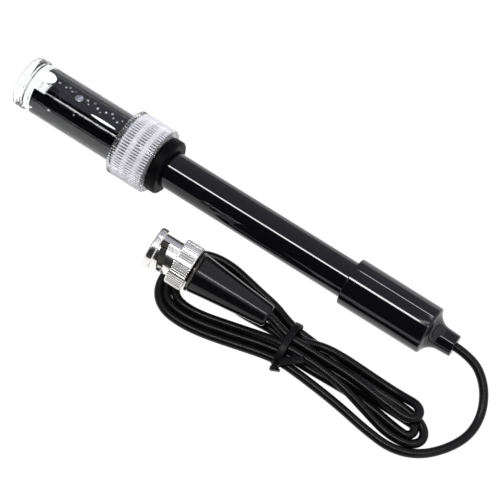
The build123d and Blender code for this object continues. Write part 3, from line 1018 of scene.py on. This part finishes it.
    def build_slot_fill(self) -> Piece:
        """The liquid between the guard's prongs, round the front half of the bulb."""
        rod, spare = self.electrode, 1.0
        low, high = rod.tip - 0.3, rod.tip + rod.slot_depth - rod.slot_width / 2
        bulb = self.bulb_radius + self.overlap
        rings = [(low, 0), (low, rod.tube_radius), (high, rod.tube_radius)]
        rings += [(high, bulb), (self.bulb_middle, bulb)]
        steps = 12
        for step in range(1, steps + 1):
            angle = step * pi / (2 * steps)
            rings.append((self.bulb_middle - bulb * sin(angle), bulb * cos(angle)))
        fill = Bench.turn("slot_fill", rings, FINE_ROUND)
        wall, beyond = rod.tube_bore - self.overlap, rod.tube_radius + spare
        start, end = rod.tip + self.overlap, high + spare
        ring = [(start, wall), (start, beyond), (end, beyond), (end, wall), (start, wall)]
        prongs = Bench.turn("prong_cutter", ring, FINE_ROUND)
        size = (4 * rod.tube_radius, rod.slot_width - 2 * self.overlap, 4 * rod.slot_depth)
        for angle in rod.slot_angles():
            Bench.cut(prongs, Bench.block(size, (0, 0, rod.tip), angle))
        Bench.cut(fill, prongs)
        return fill

    def air_bubbles(self) -> list[tuple[float, float, Point]]:
        """The small bubbles that cling along the top.

        Returns:
            For each its place along the rod, its angle from upright and its half sizes round, out and along.
        """
        out = 0.38
        return [
            (-31.2, 9.0, (1.2, out, 1.35)), (-39.4, 18.0, (0.42, 0.33, 0.42)),
            (-36.9, 16.0, (0.36, 0.3, 0.36)), (-35.8, 22.0, (0.5, out, 0.46)),
            (-34.4, 15.0, (0.36, 0.3, 0.52)), (-33.6, 20.0, (0.3, 0.26, 0.3)),
            (-28.6, 17.0, (0.5, out, 0.56)), (-27.6, 8.0, (0.32, 0.26, 0.32)),
            (-26.2, 21.0, (0.5, out, 0.42)), (-24.4, 12.0, (0.56, out, 0.5)),
            (-23.0, 6.0, (0.3, 0.24, 0.3)), (-21.4, 15.0, (0.42, 0.36, 0.5)),
            (-19.6, 22.0, (0.5, out, 0.46)), (-18.4, 12.0, (0.38, 0.32, 0.38)),
            (-16.6, 8.0, (0.52, out, 0.46)), (-15.6, 19.0, (0.34, 0.3, 0.34)),
            (-29.6, -36.0, (0.34, 0.28, 0.34)), (-38.0, -62.0, (0.4, 0.34, 0.7)),
        ]

    def blow(self, place: float, lean: float, half: Point) -> Piece:
        """A bubble flattened between the rod and the bottle's wall."""
        Bench.clear()
        angle = radians(lean)
        rod = self.electrode.tube_radius
        out = rod + (self.bottle_radius - self.wall - rod) / 2
        middle = (out * sin(angle), out * cos(angle), place)
        size = {"segments": 24, "ring_count": 16, "radius": 1}
        bpy.ops.mesh.primitive_uv_sphere_add(location=middle, rotation=(0, 0, -angle), **size)
        bubble = bpy.context.object
        bubble.scale = half
        bpy.ops.object.transform_apply(location=True, rotation=True, scale=True)
        return bubble

    def build_bubbles(self) -> Piece:
        """The air pocket above the tip, a long glowing streak that is a painted highlight, and the small
        bubbles, as one piece of two finishes.
        """
        pocket = self.blow(self.electrode.tip + 1.7, 14.0, (2.0, 0.38, 2.9))
        pocket.name = "air_bubbles"
        # The pocket's finish is painted glow, so the pocket shows as a white patch.
        pale = GLOWING_POCKET_SKIN.paint()
        Bench.dress(pocket, pale)
        skin = BUBBLE_SKIN.paint()
        small = [self.blow(*bubble) for bubble in self.air_bubbles()]
        # Painted highlight: a long flat glowing ellipsoid in the liquid stands in for a streak of light
        # reflected on the bottle's wall.
        painted_highlight_streak = self.blow(-20.3, -10.8, (0.36, 0.3, 4.7))
        Bench.pick(pocket)
        for bubble in small:
            Bench.dress(bubble, skin)
            bubble.select_set(True)
        Bench.dress(painted_highlight_streak, pale)
        painted_highlight_streak.select_set(True)
        bpy.ops.object.join()
        return Bench.settle(pocket, ROD)

    def make(self) -> None:
        """Builds and dresses every piece of the bottle."""
        bottle = self.build_bottle()
        Bench.hand_in(bottle, Body.BOTTLE, "bottle_plastic", "storage_bottle")
        cap = self.build_cap()
        Bench.dress(cap, MILKY_CAP.paint())
        Bench.hand_in(cap, Body.CAP, "cap_plastic", "bottle_cap")
        ring = self.build_ring()
        Bench.dress(ring, RING_BLACK.paint())
        Bench.hand_in(ring, Body.RING, "ring_rubber", "shaft_ring")
        liquid = self.build_liquid()
        Bench.dress(liquid, CLEAR_LIQUID.paint())
        Bench.hand_in(liquid, Body.SOLUTION, "liquid", "storage_solution")
        Bench.hand_in(self.build_bubbles(), Body.SOLUTION, "liquid")


@dataclass
class BayonetPlug:
    """The plug on the lead: its boot, its body and its turning coupling."""

    inside: tuple[str, ...] = (
        "bnc_pin",
        "bnc_insulator",
        "bnc_gasket",
        "bnc_spring_washer",
        "bnc_retaining_ring",
        "bnc_ferrule",
    )
    boot_length: float = 25.6
    boot_radius: float = 6.3
    boot_end_radius: float = 3.6
    boot_pocket: float = 3.66
    boot_round: float = 0.6
    collar_gap: float = 0.6
    collar_thickness: float = 0.9
    stub_length: float = 6.03
    cable_bore: float = 1.43
    length: float = 14.2
    grip_length: float = 5.8
    grip_radius: float = 7.4
    barrel_radius: float = 5.75
    rim_length: float = 2.4
    rim_radius: float = 6.75
    bore: float = 4.9
    lip_bore: float = 4.18
    lip: float = 1.2
    chamber_end: float = 4.9
    chamber_radius: float = 6.1
    edge: float = 0.35
    scallops: int = 60
    scallop_depth: float = 0.12
    slot_width: float = 2.2
    slot_turn: float = 95.0
    slot_rise: float = 2.4
    slot_start: float = -86.0
    detent_radius: float = 1.3
    entry_depth: float = 1.0

    def build_boot(self) -> Piece:
        """Turns the boot: a rounded front, a straight taper and a rounded cable end."""
        front = -(self.collar_gap + self.collar_thickness)
        back = front - self.boot_length
        stub = front - self.stub_length
        rings = [
            (front, self.boot_pocket),
            *Bench.rounding(front, self.boot_radius, -self.boot_round),
            (back + 1.0, self.boot_end_radius + 0.08),
            (back + 0.5, self.boot_end_radius - 0.05),
            (back + 0.15, self.boot_end_radius - 0.25),
            (back, self.boot_end_radius - self.boot_round),
            (back, self.cable_bore),
            (stub, self.cable_bore),
            (stub, self.boot_pocket),
            (front, self.boot_pocket),
        ]
        return Bench.settle(Bench.turn("plug_boot", rings), PLUG, angle=50.0)

    def build_coupling(self) -> Piece:
        """Turns the coupling, presses its grip and cuts its two bayonet slots."""
        edge, grip, barrel_end = self.edge, self.grip_radius, self.length - self.rim_length
        rings = [
            (0, self.lip_bore),
            *Bench.bevel(0, grip, edge),
            *Bench.bevel(self.grip_length, grip, -edge)[::-1],
            (self.grip_length, self.barrel_radius),
            (barrel_end, self.barrel_radius),
            *Bench.bevel(barrel_end, self.rim_radius, edge),
            (self.length - 1.6 * edge, self.rim_radius),
            (self.length - 0.3 * edge, self.rim_radius - 0.7 * edge),
            (self.length, self.rim_radius - 1.4 * edge),
            (self.length, self.bore),
            (self.chamber_end, self.bore),
            (self.chamber_end, self.chamber_radius),
            (self.lip, self.chamber_radius),
            (self.lip, self.lip_bore),
            (0, self.lip_bore),
        ]
        points = 4
        nut = Bench.turn("bayonet_coupling", rings, points * self.scallops)
        Bench.press(nut, grip, self.scallop_depth, points, (0, 1))
        half = self.slot_width / 2
        start = barrel_end - half
        near, far, drill_depth = 3.9, 6.9, 3.0
        section = [(near, start - half), (far, start - half), (far, start + half), (near, start + half)]
        for half_turn in (0, pi):
            angle = radians(self.slot_start) + half_turn
            turns = -self.slot_turn / 360
            ramp = Bench.coil("ramp_cutter", section, turns, -self.slot_rise, steps=24)
            ramp.rotation_euler = (0, 0, angle)
            Bench.cut(nut, ramp)
            end = angle - radians(self.slot_turn)
            middle = (self.barrel_radius * cos(end), self.barrel_radius * sin(end), start - self.slot_rise)
            Bench.cut(nut, Bench.drill(self.detent_radius, drill_depth, middle, end))
            depth = 2 * self.entry_depth
            spot = (self.bore * cos(angle), self.bore * sin(angle), start - half + self.length / 2)
            Bench.cut(nut, Bench.block((depth, self.slot_width, self.length), spot, angle))
        return Bench.settle(nut, PLUG, angle=30.0)

    def make(self, nodes: dict[str, Piece]) -> list[Piece]:
        """Builds and dresses the plug.

        Args:
            nodes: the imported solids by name.

        Returns:
            The pieces that sit on the lead's end.
        """
        nickel = BRIGHT_NICKEL.paint()
        boot = self.build_boot()
        Bench.dress(boot, BOOT_BLACK.paint())
        Bench.hand_in(boot, Body.ELECTRODE, "boot_rubber", "bnc_boot")
        coupling = self.build_coupling()
        Bench.dress(coupling, nickel)
        Bench.hand_in(coupling, Body.COUPLING, "nickel", "bnc_coupling")
        core = Bench.copy_solid(nodes["bnc_body"], "plug_core")
        # The body's nickel is painted dark, as shade inside the coupling.
        Bench.dress(core, SHADED_NICKEL.paint())
        Bench.hand_in(core, Body.ELECTRODE, "nickel", "bnc_body")
        return [boot, coupling, core, *(nodes[name] for name in self.inside)]


@dataclass
class BundledLead:
    """The lead: from the handle's neck, through three turns each side of the tie, into the plug's boot."""

    radius: float = 1.4
    length: float = 0.7
    exit: Point = (79.6033, 0.0, 7.3891)
    tie_x: float = 36.9
    tie_width: float = 2.4
    tie_thickness: float = 0.6

    def first_run(self) -> list[Point]:
        """From the neck round to the tie."""
        return [
            (77.2046, 0.0, 7.4691), (85.5999, 0.0, 7.1891), (92.6, -4.4, 5.2), (96.6, -11.2, 2.3),
            (97.2, -19.2, 1.4), (93.6, -26.9, 1.4), (87.6, -33.2, 1.4), (79.8, -36.0, 1.4),
            (70.4, -35.1, 1.4), (61.8, -33.5, 1.4), (53.2, -32.4, 1.7), (41.8, -31.5, 2.2),
        ]

    def outer_left(self) -> list[Point]:
        """The widest turn on the plug's side."""
        return [
            (36.9, -31.5, 2.15), (31.0, -32.4, 1.7), (25.0, -33.8, 1.4), (18.0, -35.6, 1.4),
            (11.0, -37.1, 1.4), (4.5, -37.6, 1.4), (-0.8, -36.9, 1.4), (-4.7, -34.5, 1.4),
            (-6.9, -30.8, 1.4), (-7.6, -26.4, 1.4), (-7.0, -21.8, 1.4), (-5.0, -17.6, 1.4),
            (-1.4, -14.6, 1.4), (3.4, -13.3, 1.4), (9.0, -13.3, 1.4), (15.0, -14.5, 1.4),
            (21.0, -15.8, 1.4), (27.0, -16.9, 1.4), (32.0, -18.9, 1.7),
        ]

    def outer_right(self) -> list[Point]:
        """The turn on the far side that reaches furthest, and comes back over its neighbour."""
        return [
            (36.9, -20.3, 2.15), (43.0, -20.6, 1.7), (50.0, -21.6, 1.4), (57.0, -22.3, 1.4),
            (64.0, -22.7, 1.4), (71.0, -22.8, 1.4), (76.5, -23.0, 1.4), (80.6, -23.5, 1.4),
            (83.8, -24.6, 1.4), (85.8, -26.5, 1.4), (86.3, -28.9, 1.4), (85.0, -30.9, 1.4),
            (82.6, -32.1, 1.4), (79.0, -32.5, 1.4), (74.5, -32.1, 1.4), (70.0, -31.0, 1.9),
            (65.5, -30.1, 3.2), (61.0, -29.1, 4.2), (56.0, -28.0, 4.3), (50.0, -27.2, 4.1),
            (43.0, -27.1, 4.4),
        ]

    def inner_left(self) -> list[Point]:
        """The smallest turn, under the boot."""
        return [
            (36.9, -27.3, 4.55), (31.0, -27.7, 3.6), (25.0, -28.6, 2.2), (18.0, -30.0, 1.4),
            (11.0, -31.7, 1.4), (5.4, -32.4, 1.4), (1.0, -31.9, 1.4), (-1.8, -29.9, 1.4),
            (-2.5, -27.0, 1.4), (-1.3, -24.4, 1.4), (1.0, -22.9, 1.4), (4.6, -22.7, 1.4),
            (9.0, -23.3, 1.4), (14.0, -24.1, 1.4), (20.0, -24.6, 1.4), (26.0, -24.2, 1.4),
            (31.0, -24.0, 1.6),
        ]

    def inner_right(self) -> list[Point]:
        """The shorter turn inside that one."""
        return [
            (36.9, -25.9, 2.15), (43.0, -25.7, 1.7), (50.0, -25.3, 1.4), (57.0, -25.1, 1.4),
            (64.0, -25.3, 1.4), (70.5, -25.7, 1.4), (75.8, -25.8, 1.4), (79.6, -25.9, 1.4),
            (81.9, -25.9, 1.4), (83.1, -27.9, 1.4), (81.9, -29.9, 1.4), (79.6, -29.9, 1.4),
            (75.4, -29.4, 1.4), (69.0, -28.3, 1.4), (63.0, -28.0, 1.4), (57.0, -28.0, 1.4),
            (50.0, -28.3, 1.6), (43.0, -28.6, 2.0),
        ]

    def middle_left(self) -> list[Point]:
        """The turn between the widest and the smallest."""
        return [
            (36.9, -28.7, 2.15), (31.0, -29.6, 1.7), (25.0, -31.0, 1.4), (18.0, -32.8, 1.4),
            (11.0, -34.4, 1.4), (5.0, -35.0, 1.4), (0.0, -34.5, 1.4), (-3.3, -32.4, 1.4),
            (-4.8, -29.2, 1.4), (-5.1, -25.6, 1.4), (-4.4, -22.2, 1.4), (-2.8, -19.1, 1.4),
            (0.2, -16.9, 1.4), (4.4, -16.1, 1.4), (10.0, -16.2, 1.4), (16.0, -17.4, 1.4),
            (22.0, -18.7, 1.4), (27.0, -19.7, 1.4), (32.0, -21.8, 1.5),
        ]

    def top_right(self) -> list[Point]:
        """The turn on the far side that crosses on to the others and lies on them."""
        return [
            (36.9, -23.1, 2.15), (42.4, -22.0, 3.5), (47.4, -21.0, 4.5), (52.6, -20.4, 4.0),
            (59.0, -20.0, 2.4), (66.0, -20.0, 1.5), (71.5, -20.1, 1.4), (75.8, -20.4, 2.5),
            (79.0, -20.9, 4.2), (80.9, -21.8, 4.4), (81.8, -23.3, 4.4), (81.5, -24.9, 4.4),
            (80.0, -26.0, 4.4), (77.6, -26.3, 4.3), (75.0, -26.0, 4.3), (70.0, -25.5, 4.2),
            (64.0, -24.7, 4.1), (57.0, -24.1, 4.0), (50.0, -24.1, 4.0), (43.0, -24.2, 4.4),
        ]

    def last_run(self) -> list[Point]:
        """From the tie into the plug's boot."""
        return [
            (36.9, -24.3, 4.55), (33.5, -23.5, 4.6), (30.9, -22.7, 4.5), (27.9, -22.3, 5.4),
            (22.0, -22.74, 6.49), (16.1, -23.19, 7.57),
        ]

    def route(self) -> list[Point]:
        """Every point of the lead's line, in mm."""
        route = self.first_run() + self.outer_left() + self.outer_right() + self.inner_left()
        return route + self.inner_right() + self.middle_left() + self.top_right() + self.last_run()

    def build_lead(self) -> Piece:
        """Draws the lead as one smooth curve with a round section."""
        line = [tuple(value * MM for value in point) for point in self.route()]
        lead = Bench.draw("bundled_lead", line, flat=False, steps=8, closed=False)
        lead.data.bevel_depth = self.radius * MM
        lead.data.bevel_resolution = 6
        return lead

    def build_strip(self, name: str, line: Sequence[Ring], axle: Axle, closed: bool) -> Piece:
        """A flat strip along a line, with its width square to the line's plane.

        Args:
            name: the piece's name.
            line: points in the plane across the axle, in mm.
            axle: the axle that the strip's width lies along.
            closed: whether the strip is a loop.

        Returns:
            The strip as a mesh, in place.
        """
        flat_line = [(across, up, 0) for across, up in line]
        strip = Bench.draw(name, flat_line, flat=True, steps=6, closed=closed)
        strip.data.fill_mode = "NONE"
        strip.data.extrude = (self.tie_width - self.tie_thickness) / 2
        strip.data.bevel_depth = self.tie_thickness / 2
        strip.data.bevel_resolution = 2
        Bench.pick(strip)
        bpy.ops.object.convert(target="MESH")
        strip = bpy.context.object
        Bench.weld(strip, near=0.001)
        return Bench.settle(strip, axle)

    def build_knot(self) -> Piece:
        """The twisted stub where the tie's ends cross."""
        Bench.clear()
        width, depth, length, twist = 3.1, 1.5, 2.7, 200.0
        bpy.ops.mesh.primitive_cube_add(size=1, location=(0, 0, length / 2), scale=(width, depth, length))
        knot = bpy.context.object
        knot.name = "tie_knot"
        bpy.ops.object.transform_apply(location=True, rotation=False, scale=True)
        Bench.edit(knot)
        bpy.ops.mesh.subdivide(number_cuts=15)
        bpy.ops.object.mode_set(mode="OBJECT")
        Bench.apply(knot, "SIMPLE_DEFORM", deform_method="TWIST", deform_axis="Z", angle=radians(twist))
        line = Axle((self.tie_x + 0.5, -32.4, 2.7), (0.35, -1, -0.1), (1, 0.35, 0))
        return Bench.settle(knot, line)

    def build_tie(self) -> Piece:
        """The band, its twisted knot and one free end, as one piece."""
        slant, middle = 0.07, -25.9
        loop = Axle((self.tie_x + slant * middle, 0, 0), (1, slant, 0), (-slant, 1, 0))
        round_strands = [
            (-31.2, 0.36), (-26.0, 0.36), (-20.6, 0.36), (-18.3, 0.75), (-18.1, 2.6), (-19.4, 4.7),
            (-22.4, 6.35), (-25.8, 6.5), (-29.0, 6.35), (-32.3, 4.6), (-33.5, 2.6), (-33.3, 0.75),
        ]
        band = self.build_strip("tie_band", round_strands, loop, True)
        end_line = Axle((self.tie_x + 0.6, -32.6, 0), (0.5, -0.85, 0), (0.85, 0.5, 0))
        over_strands = [(-0.6, 2.3), (0.0, 3.5), (1.4, 4.5), (3.2, 5.3), (5.2, 6.0), (7.0, 6.4), (8.0, 6.3)]
        free = self.build_strip("tie_free_end", over_strands, end_line, False)
        knot = self.build_knot()
        Bench.pick(band)
        knot.select_set(True)
        free.select_set(True)
        bpy.ops.object.join()
        band.name = "twist_tie"
        return band

    def make(self, on_end: Sequence[Piece]) -> None:
        """Builds and dresses the lead and its tie.

        Args:
            on_end: the pieces on the lead's far end; not used.
        """
        lead = self.build_lead()
        Bench.dress(lead, JACKET_BLACK.paint())
        Bench.hand_in(lead, Body.ELECTRODE, "cable_jacket", "cable_run", "cable_hank", "cable_tail")
        tie = self.build_tie()
        Bench.dress(tie, TIE_BLACK.paint())
        Bench.hand_in(tie, Body.ELECTRODE, "tie_plastic", "hank_tie")


@dataclass
class InnerParts:
    """The solids inside the electrode, the cap and the plug, which keep their own shapes."""

    def make(self, nodes: dict[str, Piece]) -> None:
        """Gives each inner solid its finish.

        Args:
            nodes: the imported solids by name.
        """
        finishes = {
            SENSOR_GLASS: ("glass_stem",),
            INNER_BUFFER: ("inner_buffer",),
            SILVER_WIRE: ("silver_wire", "reference_wire"),
            GREY_SEALANT: ("stem_stopper", "top_seal"),
            PALE_SILICONE: ("tip_seal",),
            LEAD_PLASTIC: ("signal_lead", "reference_lead"),
            PALE_CERAMIC: ("reference_junction",),
            CLOUDY_GEL: ("reference_gel",),
            CLEAR_SEAL: ("cap_seal",),
            WHITE_PLASTIC: ("bnc_insulator",),
            GOLD_PLATE: ("bnc_pin",),
            GREY_GASKET: ("bnc_gasket",),
            SPRING_STEEL: ("bnc_spring_washer", "bnc_retaining_ring", "bnc_ferrule"),
        }
        for finish, names in finishes.items():
            material = finish.paint()
            for name in names:
                Bench.dress(nodes[name], material)
                log.info("%s keeps its solid", name)


@dataclass
class Studio:
    """A glowing table, strips of light above, a dome round them and the camera at the photograph's angle."""

    azimuth: float = 34.08
    elevation: float = 64.34
    distance: float = 0.5468
    target: Point = (0.01183, -0.0089, 0.010)
    lens: float = 129.6
    sensor: float = 36.0
    floor_size: float = 6.0
    floor_drop: float = 0.00005
    panel_edge: Point = (0.438, 0.852, 0.287)

    def build_floor(self) -> None:
        """A wide table that glows almost white, so that shadows on it stay faint."""
        Bench.clear()
        bpy.ops.mesh.primitive_plane_add(size=self.floor_size, location=(0, 0, -self.floor_drop))
        floor = bpy.context.object
        floor.name = "table"
        material, g = new_material("pale_table")
        speck = g.noise(g.place(), 300.0, 2.0)
        g.surface(
            {
                "Base Color": g.blend(speck, (0.1, 0.1, 0.1, 1), (0.13, 0.13, 0.13, 1)),
                "Roughness": 0.9,
                "Emission Color": WHITE,
                "Emission Strength": 0.97,
            }
        )
        Bench.dress(floor, material)

    def build_world(self) -> None:
        """A dome, soft above and dim low down behind, with a dark screen in front. The camera sees white."""
        left, right, edge, across, low = (-0.7, -0.5), (0.4, 0.6), (-0.03, 0.03), (0.02, 0.1), (0.06, 0.25)
        soft, bright = (0.44, 0.44, 0.52, 1), (0.84, 0.84, 0.88, 1)
        dark, dim = (0.02, 0.02, 0.022, 1), (0.3, 0.3, 0.33, 1)
        world = bpy.data.worlds.new("studio_dome")
        world.use_nodes = True
        bpy.context.scene.world = world
        g = Graph(world.node_tree)
        direction = g.node("ShaderNodeTexCoord", output="Generated")
        sideways = g.along(direction, (1.0, 0.0, 0.0))
        height = g.along(direction, (0.0, 0.0, 1.0))
        front = 1 - g.ramp(g.along(direction, self.panel_edge), *edge)
        screen = front * g.ramp(sideways, *left) * (1 - g.ramp(sideways, *right))
        above = g.blend(g.ramp(sideways, *across), soft, bright)
        shaded = g.blend(screen, above, dark)
        dome = g.blend((1 - front) * (1 - g.ramp(height, *low)), shaded, dim)
        dome = g.blend(g.node("ShaderNodeLightPath", output="Is Camera Ray"), dome, WHITE)
        shader = g.node("ShaderNodeBackground", None, {"Color": dome, "Strength": 1.0})
        g.node("ShaderNodeOutputWorld", None, {"Surface": shader})

    def add_strip(self, name: str, start: Point, end: Point, width: float, power: float) -> None:
        """A long soft lamp between two points, which faces the object.

        Args:
            name: the lamp's name.
            start: one end, in metres.
            end: the other end.
            width: its width in metres.
            power: its power in watts.
        """
        first, last = Vector(start), Vector(end)
        lamp = bpy.data.lights.new(name, "AREA")
        lamp.shape = "RECTANGLE"
        lamp.size = (last - first).length
        lamp.size_y = width
        lamp.energy = power
        holder = bpy.data.objects.new(name, lamp)
        bpy.context.scene.collection.objects.link(holder)
        middle = (first + last) / 2
        along = (last - first).normalized()
        side = middle.cross(along).normalized()
        facing = along.cross(side).normalized()
        turn = Matrix((along, side, facing)).transposed().to_4x4()
        holder.matrix_world = Matrix.Translation(middle) @ turn

    def build_lights(self) -> None:
        """Strips seen in the gloss: four round a panel over the rod, one each for bottle, neck and boot."""
        front, back, over_bottle = (-0.138, 0.673), (0.445, 0.521), (-0.318, 0.612)
        right, bend = 0.018, (0.0315, 0.165, 0.655)
        strips = {
            "strip_front": ((-0.215, *front), (right, *front), 0.085, 1.45),
            "strip_bottle": ((-0.34, *over_bottle), (-0.22, *over_bottle), 0.085, 0.22),
            "strip_back": ((-0.04, *back), (right, *back), 0.045, 0.08),
            "strip_neck": ((0.06, *front), (0.16, *front), 0.06, 0.2),
            "strip_boot": ((0.21, *front), (0.33, *front), 0.06, 0.36),
            "strip_end_front": ((right, *front), bend, 0.004, 0.018),
            "strip_end_back": ((right, *back), bend, 0.004, 0.018),
        }
        for name, (start, end, width, power) in strips.items():
            self.add_strip(name, start, end, width, power)

    def build_camera(self) -> None:
        """The camera, by its angles round the object."""
        a, e = radians(self.azimuth), radians(self.elevation)
        back = Vector((sin(a) * cos(e), -cos(a) * cos(e), sin(e)))
        data = bpy.data.cameras.new("camera")
        data.lens = self.lens
        data.sensor_width = self.sensor
        data.clip_start = 0.01
        data.clip_end = 20.0
        camera = bpy.data.objects.new("camera", data)
        bpy.context.scene.collection.objects.link(camera)
        camera.rotation_mode = "QUATERNION"
        camera.rotation_quaternion = (-back).to_track_quat("-Z", "Y")
        camera.location = Vector(self.target) + back * self.distance
        bpy.context.scene.camera = camera

    def make(self) -> None:
        """Sets the stage."""
        self.build_camera()
        self.build_floor()
        self.build_world()
        self.build_lights()
        bpy.context.scene.view_settings.view_transform = "Standard"


def main() -> None:
    """Builds every class in order around the frame."""
    logging.basicConfig(level=logging.INFO, format="%(name)s: %(message)s")
    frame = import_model()
    nodes = frame["nodes"]
    Studio().make()
    electrode = ElectrodeBody()
    electrode.make()
    StorageBottle(electrode).make()
    on_end = BayonetPlug().make(nodes)
    BundledLead().make(on_end)
    InnerParts().make(nodes)
    Bench.clear()


if __name__ == "__main__":
    main()
